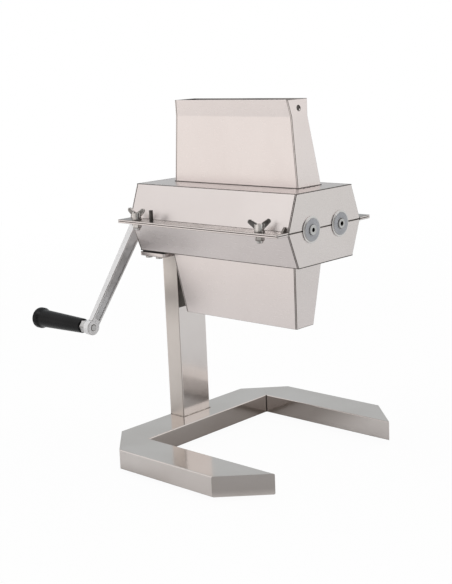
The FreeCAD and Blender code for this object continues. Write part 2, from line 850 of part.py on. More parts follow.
# Combs: plates beside the spacers whose tines stand between the blades
def make_comb(side):
    y_outer = roller_half - spacer_radius - comb_gap
    y_inner = y_outer - comb_thickness
    reach_down = math.sqrt(sweep_radius ** 2 - (roller_half - y_outer) ** 2)
    z_low = z_tub_bottom + sheet
    z_root = z_axis - reach_down - comb_side_gap
    z_tip = z_axis - comb_top_below_axis
    strip = block(x_drive + sheet, x_idle - sheet, side * y_inner, side * y_outer, z_low, z_root)
    places = blade_places(side)
    slot = blade_thickness / 2 + comb_side_gap
    tines = [block(a + slot, b - slot, side * y_inner, side * y_outer, z_low, z_tip)
             for a, b in zip(places[:-1], places[1:])]
    return one_solid(strip.multiFuse(tines))


# Crank, modelled hanging straight down from the drive axis and then turned
def turned_crank(shape):
    centre = FreeCAD.Vector(0, -roller_half, z_axis)
    shape.rotate(centre, ALONG_X, -crank_angle)
    return shape


y_drive = -roller_half
z_eye_down = z_axis - crank_length
x_eye_outer = x_arm_face - eye_thickness


def make_crank_arm():
    half_hub = arm_hub_width / 2
    half_eye = arm_eye_width / 2
    x_hub_back = x_arm_face - arm_hub_thickness
    x_eye_back = x_arm_face - arm_eye_thickness
    side_view = prism_x([(y_drive - half_hub, z_axis), (y_drive + half_hub, z_axis),
                         (y_drive + half_eye, z_eye_down), (y_drive - half_eye, z_eye_down)],
                        x_hub_back, x_arm_face)
    edge_view = prism_y([(x_arm_face, z_axis), (x_arm_face, z_eye_down),
                         (x_eye_back, z_eye_down), (x_hub_back, z_axis)],
                        y_drive - arm_hub_width, y_drive + arm_hub_width)
    arm = side_view.common(edge_view)
    # the groove runs up to the hub, which closes its end
    z_low = z_eye_down + eye_radius + arm_groove_rim
    half_top = half_hub - arm_groove_rim
    half_low = half_eye - arm_groove_rim
    groove = prism_x([(y_drive - half_top, z_axis), (y_drive + half_top, z_axis),
                      (y_drive + half_low, z_low), (y_drive - half_low, z_low)],
                     x_arm_face - arm_groove_depth, x_arm_face)
    arm = arm.cut(groove)
    arm = arm.fuse(rod_x(hub_radius, x_hub_outer, x_hub_inner, y_drive, z_axis))
    arm = arm.fuse(rod_x(eye_radius, x_eye_outer, x_arm_face, y_drive, z_eye_down))
    arm = arm.cut(rod_x(spindle_radius + tenon_fit, x_eye_outer - overrun, x_arm_face + overrun,
                        y_drive, z_eye_down))
    arm = turned_crank(one_solid(arm))
    return arm.cut(bar_x(tenon_flats + 2 * tenon_fit, 4, x_hub_outer - overrun, x_hub_inner + overrun,
                         y_drive, z_axis))


def make_crank_screw():
    x_washer = x_hub_outer - crank_washer_thickness
    head = bar_x(crank_screw_head_flats, 6, x_washer - crank_screw_head_height, x_washer, y_drive, z_axis)
    shank = rod_x(crank_screw_radius, x_washer, x_tenon_end + crank_screw_depth - crank_screw_tip_gap,
                  y_drive, z_axis)
    return head.fuse(shank)


def make_crank_washer():
    x0 = x_hub_outer - crank_washer_thickness
    ring = rod_x(crank_washer_radius, x0, x_hub_outer, y_drive, z_axis)
    return ring.cut(rod_x(crank_screw_radius + hole_clearance, x0, x_hub_outer, y_drive, z_axis))


x_grip_inner = x_drive + grip_inner_end
x_grip_outer = x_drive + grip_outer_end
x_spindle_head = x_grip_outer + grip_end_round


def make_spindle():
    x_shoulder = x_spindle_head + spindle_head_thickness
    rod = rod_x(spindle_radius, x_shoulder, x_arm_face + spindle_proud, y_drive, z_eye_down)
    head = rod_x(spindle_head_radius, x_spindle_head, x_shoulder, y_drive, z_eye_down)
    return turned_crank(rod.fuse(head))


def make_collar():
    x0 = x_eye_outer - collar_length
    collar = bar_x(collar_flats, 6, x0, x_eye_outer, y_drive, z_eye_down)
    return turned_crank(collar.cut(rod_x(spindle_radius + tenon_fit, x0, x_eye_outer, y_drive, z_eye_down)))


def make_grip():
    x_flange = x_grip_outer + grip_end_round
    x_flange_inner = x_flange + grip_flange_length
    x_recess = x_spindle_head + spindle_head_thickness + grip_end_gap
    outline = [(x_grip_outer, grip_flange_radius - grip_end_round), (x_flange, grip_flange_radius),
               (x_flange_inner, grip_flange_radius),
               (x_flange_inner + grip_flange_flare, grip_outer_radius),
               (x_grip_inner - grip_inner_chamfer, grip_inner_radius),
               (x_grip_inner, grip_inner_radius - grip_inner_chamfer)]
    circles = [(FreeCAD.Vector(x, y_drive, z_eye_down), radius) for x, radius in outline]
    grip = ruled_through(circles, ALONG_X)
    grip = grip.cut(rod_x(spindle_radius + running_gap, x_grip_outer, x_grip_inner, y_drive, z_eye_down))
    grip = grip.cut(rod_x(spindle_head_radius + grip_head_recess_gap, x_grip_outer, x_recess,
                          y_drive, z_eye_down))
    return turned_crank(grip)


def build():
    os.makedirs("parts", exist_ok=True)
    group = Part.makeCompound

    back_bar, arms, corner_caps, tip_caps = make_base()
    export("base_back_bar", back_bar)
    export("base_arm_front", arms[0])
    export("base_arm_rear", arms[1])
    export("base_corner_caps", group(corner_caps))
    export("base_tip_caps", group(tip_caps))
    feet, foot_screws = make_feet()
    export("rubber_feet", group(feet))
    export("foot_screws", group(foot_screws))

    export("post", make_post())
    export("post_top_plate", make_top_plate())
    export("mount_gasket", make_gasket())
    mount_screws, mount_nuts = make_mount_screws()
    export("mount_screws", group(mount_screws))
    export("mount_nuts", group(mount_nuts))

    export("tub_front", make_tub_side(-1))
    export("tub_rear", make_tub_side(1))
    export("tub_bottom", make_tub_bottom())
    export("tub_end_drive", make_tub_end(x_drive, x_drive + sheet))
    export("tub_end_idle", make_tub_end(x_idle - sheet, x_idle))
    chute_front, chute_back, chute_drive, chute_idle = make_chute()
    export("chute_front", chute_front)
    export("chute_back", chute_back)
    export("chute_end_drive", chute_drive)
    export("chute_end_idle", chute_idle)

    export("cover_front", make_cover_side(-1))
    export("cover_rear", make_cover_side(1))
    export("cover_top", make_cover_top())
    export("cover_end_drive", make_cover_end(x_drive, x_drive + sheet))
    export("cover_end_idle", make_cover_end(x_idle - sheet, x_idle))
    hopper_front, hopper_back, hopper_drive, hopper_idle = make_hopper()
    export("hopper_front", hopper_front)
    export("hopper_back", hopper_back)
    export("hopper_end_drive", hopper_drive)
    export("hopper_end_idle", hopper_idle)

    studs, acorns = make_studs()
    export("flange_studs", group(studs))
    export("acorn_nuts", group(acorns))
    export("wing_washers", group(make_washers()))
    for name, turn in wing_turns.items():
        x, y = wing_place(name)
        export("wing_nut_" + name, make_wing_nut(x, y, turn))
    export("locating_pin", make_pin())

    export("bushes_idle", group([make_bush(x_idle, 1, side, stub_radius) for side in (-1, 1)]))
    export("bushes_drive", group([make_bush(x_drive, -1, -1, journal_radius),
                                  make_bush(x_drive, -1, 1, stub_radius)]))
    for name, side in roller_sides.items():
        export(name + "_shaft", make_shaft(side))
        export(name + "_blades", group(make_blades(side)))
        export(name + "_spacers", group(make_spacers(side)))
        export(name + "_gear", make_gear(side))
    export("comb_front", make_comb(-1))
    export("comb_rear", make_comb(1))

    export("crank_arm", make_crank_arm())
    export("crank_washer", make_crank_washer())
    export("crank_screw", make_crank_screw())
    export("grip_spindle", make_spindle())
    export("grip_collar", make_collar())
    export("grip", make_grip())


build()
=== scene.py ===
import bpy
import json
import math
from mathutils import Vector, Matrix


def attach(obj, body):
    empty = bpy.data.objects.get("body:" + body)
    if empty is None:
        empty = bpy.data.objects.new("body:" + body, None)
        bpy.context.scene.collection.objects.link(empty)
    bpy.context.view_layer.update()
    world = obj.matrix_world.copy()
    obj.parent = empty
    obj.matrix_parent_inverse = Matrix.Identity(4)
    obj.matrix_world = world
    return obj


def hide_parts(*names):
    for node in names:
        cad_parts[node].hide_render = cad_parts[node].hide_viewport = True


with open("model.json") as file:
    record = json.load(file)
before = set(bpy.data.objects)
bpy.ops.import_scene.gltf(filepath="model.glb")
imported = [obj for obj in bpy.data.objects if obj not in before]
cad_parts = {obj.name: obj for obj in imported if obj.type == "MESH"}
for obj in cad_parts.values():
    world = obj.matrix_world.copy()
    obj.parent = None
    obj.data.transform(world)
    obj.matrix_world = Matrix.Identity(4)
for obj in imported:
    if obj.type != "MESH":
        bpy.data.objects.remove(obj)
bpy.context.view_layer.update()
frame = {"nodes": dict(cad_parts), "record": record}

scene = bpy.context.scene
nodes = frame["nodes"]
mm = 0.001
print("frame loaded,", len(nodes), "pieces")


def pickOnly(piece):
    bpy.ops.object.select_all(action="DESELECT")
    piece.select_set(True)
    bpy.context.view_layer.objects.active = piece


def enterEdit(piece):
    pickOnly(piece)
    bpy.ops.object.mode_set(mode="EDIT")
    bpy.ops.mesh.select_mode(type="FACE")
    bpy.ops.mesh.select_all(action="SELECT")


def leaveEdit():
    bpy.ops.object.mode_set(mode="OBJECT")


def applyAll(piece):
    pickOnly(piece)
    for modifier in list(piece.modifiers):
        bpy.ops.object.modifier_apply(modifier=modifier.name)


def roundEdges(piece, width, segments, angle=35, clamped=False):
    bevel = piece.modifiers.new("roundedEdges", "BEVEL")
    bevel.width = width * mm
    bevel.segments = segments
    bevel.limit_method = "ANGLE"
    bevel.angle_limit = math.radians(angle)
    bevel.use_clamp_overlap = clamped
    bevel.loop_slide = False


def flattenShading(piece):
    # large faces keep their own direction, and rounded edges and bends turn between them
    piece.data.shade_smooth()
    weighted = piece.modifiers.new("evenShading", "WEIGHTED_NORMAL")
    weighted.mode = "FACE_AREA"
    weighted.weight = 100
    weighted.keep_sharp = True


def coat(piece, *materials):
    piece.data.materials.clear()
    for material in materials:
        piece.data.materials.append(material)


def finishPiece(piece, body):
    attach(piece, body)
    return piece


merging = {"distance": 0.00001, "flatAngle": math.radians(1.0)}


def copyOf(nodeName, pieceName):
    # a node's mesh is loose triangles, so a copy is joined up and its flat faces are made whole
    piece = bpy.data.objects.new(pieceName, nodes[nodeName].data.copy())
    scene.collection.objects.link(piece)
    enterEdit(piece)
    bpy.ops.mesh.remove_doubles(threshold=merging["distance"])
    bpy.ops.mesh.normals_make_consistent(inside=False)
    bpy.ops.mesh.dissolve_limited(angle_limit=merging["flatAngle"], use_dissolve_boundaries=False)
    leaveEdit()
    return piece


bodyOfNode = {}
for bodyName, members in frame["record"]["behaviour"]["bodies"].items():
    for member in members:
        bodyOfNode[member] = bodyName


# angles in degrees, lens and sensor in millimetres, place in metres
viewpoint = {"azimuth": 42.898, "elevation": 11.849, "roll": -2.385, "lens": 70.98, "sensor": 36,
             "place": (0.99997, -1.04767, 0.50080)}


def placeCamera(v):
    azimuth = math.radians(v["azimuth"])
    elevation = math.radians(v["elevation"])
    roll = math.radians(v["roll"])
    back = Vector((math.sin(azimuth) * math.cos(elevation), -math.cos(azimuth) * math.cos(elevation),
                   math.sin(elevation)))
    right = Vector((math.cos(azimuth), math.sin(azimuth), 0))
    up = back.cross(right)
    across = right * math.cos(roll) + up * math.sin(roll)
    upward = up * math.cos(roll) - right * math.sin(roll)
    data = bpy.data.cameras.new("camera")
    data.sensor_fit = "VERTICAL"
    data.sensor_height = v["sensor"]
    data.lens = v["lens"]
    camera = bpy.data.objects.new("camera", data)
    scene.collection.objects.link(camera)
    turn = Matrix((across, upward, back)).transposed().to_4x4()
    camera.matrix_world = Matrix.Translation(Vector(v["place"])) @ turn
    scene.camera = camera


placeCamera(viewpoint)
scene.view_settings.view_transform = "Standard"
print("camera placed")


def newMaterial(name, colour, metallic, roughness):
    material = bpy.data.materials.new(name)
    material.use_nodes = True
    shader = material.node_tree.nodes["Principled BSDF"]
    shader.inputs["Base Color"].default_value = (*colour, 1)
    shader.inputs["Metallic"].default_value = metallic
    shader.inputs["Roughness"].default_value = roughness
    return material, shader


evenly = (1, 1, 1)
# the part of a noise pattern's range that is spread over a roughness, and over two tones
noiseSpan = (0.3, 0.7)
toneSpan = (0.32, 0.68)


def patternOf(material, scale, stretch, detail=3.0):
    # a noise pattern on Object coordinates, stretched along the grain
    tree = material.node_tree
    coordinates = tree.nodes.new("ShaderNodeTexCoord")
    mapping = tree.nodes.new("ShaderNodeMapping")
    mapping.inputs["Scale"].default_value = stretch
    noise = tree.nodes.new("ShaderNodeTexNoise")
    noise.inputs["Scale"].default_value = scale
    noise.inputs["Detail"].default_value = detail
    tree.links.new(coordinates.outputs["Object"], mapping.inputs["Vector"])
    tree.links.new(mapping.outputs["Vector"], noise.inputs["Vector"])
    return noise.outputs["Fac"]


def spread(material, value, low, high):
    tree = material.node_tree
    span = tree.nodes.new("ShaderNodeMapRange")
    span.inputs["From Min"].default_value = noiseSpan[0]
    span.inputs["From Max"].default_value = noiseSpan[1]
    span.inputs["To Min"].default_value = low
    span.inputs["To Max"].default_value = high
    tree.links.new(value, span.inputs["Value"])
    return span.outputs["Result"]


def twoTones(material, value, dark, light):
    tree = material.node_tree
    ramp = tree.nodes.new("ShaderNodeValToRGB")
    ramp.color_ramp.elements[0].position = toneSpan[0]
    ramp.color_ramp.elements[0].color = (*dark, 1)
    ramp.color_ramp.elements[1].position = toneSpan[1]
    ramp.color_ramp.elements[1].color = (*light, 1)
    tree.links.new(value, ramp.inputs["Fac"])
    return ramp.outputs["Color"]


def bumpFrom(material, shader, value, strength, distance):
    tree = material.node_tree
    bump = tree.nodes.new("ShaderNodeBump")
    bump.inputs["Strength"].default_value = strength
    bump.inputs["Distance"].default_value = distance
    tree.links.new(value, bump.inputs["Height"])
    tree.links.new(bump.outputs["Normal"], shader.inputs["Normal"])


def metal(name, f):
    material, shader = newMaterial(name, f["light"], f.get("metallic", 1.0), f["roughness"][0])
    links = material.node_tree.links
    cloudy = patternOf(material, f["cloudScale"], evenly)
    links.new(twoTones(material, cloudy, f["dark"], f["light"]), shader.inputs["Base Color"])
    grain = patternOf(material, f["grainScale"], f["grainStretch"], detail=4.0)
    links.new(spread(material, grain, f["roughness"][0], f["roughness"][1]), shader.inputs["Roughness"])
    bumpFrom(material, shader, grain, f["bump"], f["grainDepth"])
    return material


finishes = {
    "stainless_steel": {"dark": (0.755, 0.695, 0.680), "light": (0.785, 0.726, 0.712),
                        "roughness": (0.27, 0.31), "cloudScale": 14, "grainScale": 260,
                        "grainStretch": (0.3, 1, 6), "bump": 0.004, "grainDepth": 0.0002},
    "coverSteel": {"dark": (0.755, 0.700, 0.685), "light": (0.785, 0.732, 0.718), "roughness": (0.36, 0.40),
                   "cloudScale": 14, "grainScale": 260, "grainStretch": (0.3, 1, 6), "bump": 0.004,
                   "grainDepth": 0.0002},
    "baseSteel": {"dark": (0.675, 0.625, 0.595), "light": (0.750, 0.705, 0.680), "roughness": (0.10, 0.15),
                  "cloudScale": 11, "grainScale": 200, "grainStretch": (0.4, 1, 9), "bump": 0.004,
                  "grainDepth": 0.0002},
    # the post's front and side are one steel: the side's lower roughness is its own polish, while the front's
    # darker browner tone and the side's lighter tone are painted shade and painted light
    "postSteel": {"dark": (0.660, 0.605, 0.565), "light": (0.720, 0.665, 0.625), "roughness": (0.30, 0.36),
                  "cloudScale": 14, "grainScale": 200, "grainStretch": (3, 3, 0.12), "bump": 0.006,
                  "grainDepth": 0.0002},
    "postSideLighter": {"dark": (0.760, 0.715, 0.695), "light": (0.800, 0.760, 0.740), "roughness": (0.13, 0.18),
                 "cloudScale": 14, "grainScale": 200, "grainStretch": (1, 1, 0.3), "bump": 0.006,
                 "grainDepth": 0.0002},
    # a dark colour for rounded edges and sheet bends: painted shade and painted reflection
    "paintedEdgeShade": {"dark": (0.16, 0.14, 0.13), "light": (0.28, 0.255, 0.24), "roughness": (0.18, 0.28),
                  "cloudScale": 30, "grainScale": 200, "grainStretch": evenly, "bump": 0.01,
                  "grainDepth": 0.0002},
    # dark colour for the inward faces of the sheet boxes: painted shade inside them
    "insideShade": {"dark": (0.13, 0.12, 0.115), "light": (0.22, 0.205, 0.195), "roughness": (0.34, 0.44),
                   "cloudScale": 20, "grainScale": 120, "grainStretch": (1, 1, 4), "bump": 0.02,
                   "grainDepth": 0.0003},
    # dark grey for the flange tops: a painted reflection of the cover above them
    "flangeTopReflection": {"dark": (0.34, 0.315, 0.30), "light": (0.46, 0.43, 0.415), "roughness": (0.24, 0.32),
                  "cloudScale": 20, "grainScale": 120, "grainStretch": evenly, "bump": 0.01,
                  "grainDepth": 0.0002},
    # near-black for the post's side behind the chute: painted shade
    "wedgeShade": {"dark": (0.05, 0.045, 0.04), "light": (0.12, 0.11, 0.10), "roughness": (0.25, 0.35),
                  "cloudScale": 20, "grainScale": 120, "grainStretch": (1, 1, 0.2), "bump": 0.01,
                  "grainDepth": 0.0002},
    "weldSteel": {"dark": (0.30, 0.27, 0.25), "light": (0.62, 0.57, 0.53), "roughness": (0.25, 0.40),
                  "cloudScale": 160, "grainScale": 500, "grainStretch": evenly, "bump": 0.15,
                  "grainDepth": 0.0003},
    # near-black for the weld seams, and for the strips on the bends that are painted shade
    "weldSeamAndBendShade": {"dark": (0.05, 0.045, 0.04), "light": (0.16, 0.14, 0.13), "roughness": (0.38, 0.55),
                 "cloudScale": 200, "grainScale": 500, "grainStretch": evenly, "bump": 0.2,
                 "grainDepth": 0.0003},
    "bright_fasteners": {"dark": (0.48, 0.465, 0.45), "light": (0.72, 0.70, 0.685), "roughness": (0.14, 0.24),
                         "cloudScale": 90, "grainScale": 700, "grainStretch": evenly, "bump": 0.02,
                         "grainDepth": 0.0002},
    "wingRecess": {"dark": (0.09, 0.085, 0.08), "light": (0.27, 0.26, 0.25), "roughness": (0.30, 0.42),
                   "cloudScale": 160, "grainScale": 700, "grainStretch": evenly, "bump": 0.05,
                   "grainDepth": 0.0002},
    "machined_steel": {"dark": (0.48, 0.475, 0.47), "light": (0.64, 0.635, 0.63), "roughness": (0.24, 0.36),
                       "cloudScale": 60, "grainScale": 500, "grainStretch": (6, 1, 1), "bump": 0.02,
                       "grainDepth": 0.0002},
    "blade_steel": {"dark": (0.60, 0.60, 0.60), "light": (0.74, 0.74, 0.74), "roughness": (0.18, 0.30),
                    "cloudScale": 60, "grainScale": 400, "grainStretch": evenly, "bump": 0.03,
                    "grainDepth": 0.0002},
    "polished_crank": {"dark": (0.80, 0.795, 0.80), "light": (0.90, 0.895, 0.90), "roughness": (0.26, 0.32),
                       "metallic": 0.20, "cloudScale": 30, "grainScale": 120, "grainStretch": evenly,
                       "bump": 0.006, "grainDepth": 0.0002},
    "bushRing": {"dark": (0.66, 0.64, 0.63), "light": (0.74, 0.72, 0.71), "roughness": (0.26, 0.32),
                 "cloudScale": 60, "grainScale": 300, "grainStretch": evenly, "bump": 0.01,
                 "grainDepth": 0.0002},
    "grooveSteel": {"dark": (0.60, 0.60, 0.605), "light": (0.74, 0.74, 0.75), "roughness": (0.30, 0.38),
                    "metallic": 0.30, "cloudScale": 40, "grainScale": 160, "grainStretch": evenly,
                    "bump": 0.01, "grainDepth": 0.0002},
    # near-black for the shafts' centre holes: painted shade inside them
    "boreShade": {"dark": (0.012, 0.012, 0.012), "light": (0.03, 0.03, 0.03), "roughness": (0.5, 0.6),
                 "cloudScale": 200, "grainScale": 500, "grainStretch": evenly, "bump": 0.05,
                 "grainDepth": 0.0002},
}
paint = {name: metal(name, f) for name, f in finishes.items()}


def plastic(name, f):
    material, shader = newMaterial(name, f["light"], 0.0, f["roughness"][0])
    shader.inputs["Specular IOR Level"].default_value = f["gloss"]
    links = material.node_tree.links
    mottle = patternOf(material, f["mottleScale"], evenly)
    links.new(twoTones(material, mottle, f["dark"], f["light"]), shader.inputs["Base Color"])
    grain = patternOf(material, f["grainScale"], evenly, detail=2.0)
    links.new(spread(material, grain, f["roughness"][0], f["roughness"][1]), shader.inputs["Roughness"])
    bumpFrom(material, shader, grain, f["bump"], f["grainDepth"])
    return material


plastics = {
    "grey_bush": {"dark": (0.42, 0.43, 0.455), "light": (0.50, 0.51, 0.535), "roughness": (0.42, 0.55),
                  "gloss": 0.4, "mottleScale": 70, "grainScale": 900, "bump": 0.05, "grainDepth": 0.0002},
    "black_rubber": {"dark": (0.012, 0.012, 0.012), "light": (0.028, 0.028, 0.028), "roughness": (0.60, 0.78),
                     "gloss": 0.3, "mottleScale": 80, "grainScale": 1200, "bump": 0.15, "grainDepth": 0.0003},
    "black_grip": {"dark": (0.003, 0.003, 0.0035), "light": (0.008, 0.008, 0.009), "roughness": (0.24, 0.30),
                   "gloss": 0.16, "mottleScale": 40, "grainScale": 260, "bump": 0.02, "grainDepth": 0.0003},
    "blackened_steel": {"dark": (0.040, 0.034, 0.030), "light": (0.085, 0.074, 0.066),
                        "roughness": (0.30, 0.44), "gloss": 0.5, "mottleScale": 120, "grainScale": 900,
                        "bump": 0.10, "grainDepth": 0.0002},
}
for name, f in plastics.items():
    paint[name] = plastic(name, f)
print("materials mixed")


slotOfNode = {entry["node"]: entry["material_slot"] for entry in frame["record"]["subparts"]}
# a finish of its own for the look, where the slot's finish isn't used
finishOfNode = {"base_back_bar": "baseSteel", "base_arm_front": "baseSteel", "base_arm_rear": "baseSteel",
                "base_corner_caps": "baseSteel", "base_tip_caps": "baseSteel", "post": "postSteel",
                "cover_front": "coverSteel", "cover_rear": "coverSteel"}
# their rounded edges keep the finish of their faces
brightEdges = ("hopper_front", "hopper_back", "rubber_feet", "grip", "mount_gasket", "locating_pin")
# their narrow corners need the rounding held back
sharpCornered = ("base_back_bar", "base_arm_front", "base_arm_rear", "base_corner_caps", "base_tip_caps",
                 "drive_shaft")
# cuts that let one face carry two finishes: the post's side is painted dark where the chute hides it, as
# painted shade
behindChute = {"above": 0.1775, "frontOf": 0.006}
splits = {"post": [((0, 0, behindChute["above"]), (0, 0, 1)), ((0, behindChute["frontOf"], 0), (0, 1, 0))]}


def dress(nodeName, width, segments, angle):
    # the node's own form with its edges rounded, and most of the rounded edges painted darker as painted
    # shade and painted reflection
    piece = copyOf(nodeName, nodeName + "_dressed")
    slotName = slotOfNode[nodeName]
    coat(piece, paint[finishOfNode.get(nodeName, slotName)], paint["paintedEdgeShade"])
    for place, direction in splits.get(nodeName, ()):
        enterEdit(piece)
        bpy.ops.mesh.bisect(plane_co=place, plane_no=direction)
        leaveEdit()
    roundEdges(piece, width, segments, angle, clamped=nodeName in sharpCornered)
    if nodeName not in brightEdges:
        piece.modifiers["roundedEdges"].material = 1
    flattenShading(piece)
    applyAll(piece)
    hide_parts(nodeName)
    return finishPiece(piece, bodyOfNode[nodeName])


def paintFaces(piece, finish, chosen):
    # gives the faces that the test picks a finish of their own
    piece.data.materials.append(paint[finish])
    place = len(piece.data.materials) - 1
    for face in piece.data.polygons:
        if chosen(face):
            face.material_index = place


# width of the rounding in millimetres, its segments, and the least angle that is rounded
edgeRounding = {
    "base_back_bar": (0.35, 2, 35), "base_arm_front": (0.35, 2, 35), "base_arm_rear": (0.35, 2, 35),
    "base_corner_caps": (0.35, 2, 35), "base_tip_caps": (0.35, 2, 35), "rubber_feet": (0.6, 2, 35),
    "foot_screws": (0.3, 2, 35), "post": (0.3, 2, 35), "post_top_plate": (0.5, 2, 35),
    "mount_gasket": (0.3, 2, 35), "mount_screws": (0.5, 2, 35), "mount_nuts": (0.4, 2, 35),
    "tub_front": (0.4, 2, 35), "tub_rear": (0.4, 2, 35), "tub_bottom": (0.3, 2, 35),
    "tub_end_drive": (0.8, 3, 35), "tub_end_idle": (0.8, 3, 35),
    "chute_front": (0.4, 2, 35), "chute_back": (0.4, 2, 35),
    "chute_end_drive": (0.8, 3, 35), "chute_end_idle": (0.8, 3, 35),
    "cover_front": (0.4, 2, 35), "cover_rear": (0.4, 2, 35), "cover_top": (0.3, 2, 35),
    "cover_end_drive": (0.8, 3, 35), "cover_end_idle": (0.8, 3, 35),
    "hopper_front": (0.5, 3, 6), "hopper_back": (0.5, 3, 6), "hopper_end_drive": (0.6, 3, 35),
    "hopper_end_idle": (0.6, 3, 35),
    "flange_studs": (0.4, 2, 35), "acorn_nuts": (0.5, 2, 25), "wing_washers": (0.3, 2, 35),
    "locating_pin": (0.5, 2, 35),
    "bushes_idle": (0.25, 2, 35), "bushes_drive": (0.25, 2, 35),
    "drive_shaft": (0.4, 2, 35), "driven_shaft": (0.4, 2, 35), "drive_gear": (0.3, 2, 35),
    "driven_gear": (0.3, 2, 35), "comb_front": (0.25, 2, 35), "comb_rear": (0.25, 2, 35),
    "crank_arm": (0.35, 2, 35), "crank_washer": (0.25, 2, 35), "crank_screw": (0.3, 2, 35),
    "grip_spindle": (0.4, 2, 35), "grip_collar": (0.4, 2, 35), "grip": (0.8, 3, 30),
}
dressed = {nodeName: dress(nodeName, *rounding) for nodeName, rounding in edgeRounding.items()}
for nodeName in ("drive_blades", "driven_blades", "drive_spacers", "driven_spacers"):
    coat(nodes[nodeName], paint[slotOfNode[nodeName]])
print("pieces dressed")

# metres: the rollers' axes as y and z, the end plates' outer faces as x, and two radii round the axes
rollerAxes = ((-0.027, 0.2965), (0.027, 0.2965))
endDetails = {"idleFace": 0.18815, "driveFace": -0.07185, "flangeRing": 0.0133, "centreHole": 0.0027,
              "grooveFloor": -0.08705, "grooveReach": 0.0001, "flangeLevel": 0.31}
# how far a face's normal has to point one way
facing = {"inwards": 0.3, "bendFrom": 0.47, "bendTo": 0.97, "upwards": 0.99, "sideways": 0.9}


def distances(piece, face):
    # how far the face's corners are from the nearer roller axis
    spots = [piece.data.vertices[corner].co for corner in face.vertices]
    return [min(math.hypot(spot.y - y, spot.z - z) for y, z in rollerAxes) for spot in spots]


def outside(face):
    return face.center.x > endDetails["idleFace"] or face.center.x < endDetails["driveFace"]


for nodeName in ("bushes_idle", "bushes_drive"):
    piece = dressed[nodeName]
    paintFaces(piece, "bushRing",
               lambda face: outside(face) and min(distances(piece, face)) > endDetails["flangeRing"])
# the shafts' centre holes are painted near-black as painted shade
for nodeName in ("drive_shaft", "driven_shaft"):
    piece = dressed[nodeName]
    paintFaces(piece, "boreShade",
               lambda face: outside(face) and max(distances(piece, face)) < endDetails["centreHole"])
# the middle of each box of sheet, as x and y
insides = {"hopper": (0.058, 0.0095), "cover": (0.058, 0), "tub": (0.058, 0), "chute": (0.069, -0.0095)}


def facesInwards(face, middle):
    inwards = Vector((middle[0] - face.center.x, middle[1] - face.center.y, 0)).normalized()
    return face.normal.dot(inwards) > facing["inwards"]


# faces turned into the middle of each box get painted shade
for nodeName, piece in dressed.items():
    family, _, wall = nodeName.partition("_")
    if family in insides and wall.split("_")[0] in ("front", "back", "rear", "end"):
        paintFaces(piece, "insideShade", lambda face: facesInwards(face, insides[family]))
for nodeName in ("tub_front", "tub_rear", "cover_front", "cover_rear"):
    # the bends of these sheets get the same painted reflection
    paintFaces(dressed[nodeName], "paintedEdgeShade",
               lambda face: facing["bendFrom"] < abs(face.normal.z) < facing["bendTo"])
    # the flange tops below the cover get a painted reflection of the cover
    paintFaces(dressed[nodeName], "flangeTopReflection",
               lambda face: face.normal.z > facing["upwards"] and face.center.z < endDetails["flangeLevel"])


def facesIdleEnd(face):
    return face.normal.x > facing["sideways"]


def hiddenByChute(face):
    return face.center.z > behindChute["above"] and face.center.y < behindChute["frontOf"]


def onGrooveFloor(face):
    return abs(face.center.x - endDetails["grooveFloor"]) < endDetails["grooveReach"]


# the post's side gets its own polish and a painted lighter tone
paintFaces(dressed["post"], "postSideLighter", facesIdleEnd)
# where the chute hides the post's side, it gets painted shade
paintFaces(dressed["post"], "wedgeShade", lambda face: facesIdleEnd(face) and hiddenByChute(face))
paintFaces(dressed["crank_arm"], "grooveSteel", lambda face: onGrooveFloor(face) and facesIdleEnd(face))


def dressWingNut(nodeName, w):
    # the flat sides of both wings are sunk a little and left dark
    piece = copyOf(nodeName, nodeName + "_dressed")
    coat(piece, paint["bright_fasteners"], paint["wingRecess"])
    enterEdit(piece)
    bpy.ops.mesh.select_all(action="DESELECT")
    leaveEdit()
    for face in piece.data.polygons:
        face.select = abs(face.normal.z) < w["lean"] and face.area > w["leastSide"] * mm * mm
    bpy.ops.object.mode_set(mode="EDIT")
    bpy.ops.mesh.inset(thickness=w["rim"] * mm, depth=-w["sink"] * mm)
    piece.active_material_index = 1
    bpy.ops.object.material_slot_assign()
    leaveEdit()
    roundEdges(piece, w["rounding"], segments=2, clamped=True)
    flattenShading(piece)
    applyAll(piece)
    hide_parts(nodeName)
    finishPiece(piece, bodyOfNode[nodeName])


# the least side in square millimetres, the lengths in millimetres
wingNut = {"lean": 0.05, "leastSide": 20, "rim": 0.55, "sink": 0.35, "rounding": 0.3}
for nodeName in sorted(nodes):
    if nodeName.startswith("wing_nut"):
        dressWingNut(nodeName, wingNut)


def startPiece(name):
    piece = bpy.context.active_object
    piece.name = name
    bpy.ops.object.transform_apply(location=True, rotation=False, scale=True)
    enterEdit(piece)
    return piece


def endPiece(piece, p, finish, angle=35):
    bpy.ops.mesh.select_all(action="SELECT")
    bpy.ops.mesh.normals_make_consistent(inside=False)
    leaveEdit()
    roundEdges(piece, p["rounding"], segments=2, angle=angle)
    flattenShading(piece)
    applyAll(piece)
    coat(piece, paint[finish])
    finishPiece(piece, p["body"])


def makeBead(name, b):
    # a weld bead or seam round a rectangle, as a ring that is then raised and rounded; the two at the tub's
    # bottom and the cover's top are dark strips on sheet bends, painted shade
    (x0, y0), (x1, y1) = b["low"], b["high"]
    width = b["width"]
    centre = ((x0 + x1) / 2 * mm, (y0 + y1) / 2 * mm, b["level"] * mm)
    bpy.ops.object.select_all(action="DESELECT")
    bpy.ops.mesh.primitive_plane_add(size=1, location=centre)
    piece = startPiece(name)
    size = ((x1 - x0 + 2 * width) * mm, (y1 - y0 + 2 * width) * mm, 1)
    bpy.ops.transform.resize(value=size, center_override=centre)
    bpy.ops.mesh.inset(thickness=(width + b["under"]) * mm)
    bpy.ops.mesh.delete(type="FACE")
    bpy.ops.mesh.select_all(action="SELECT")
    bpy.ops.mesh.subdivide(number_cuts=1)
    bpy.ops.mesh.extrude_region_move(TRANSFORM_OT_translate={"value": (0, 0, b["rise"] * mm)})
    endPiece(piece, b, b["finish"])


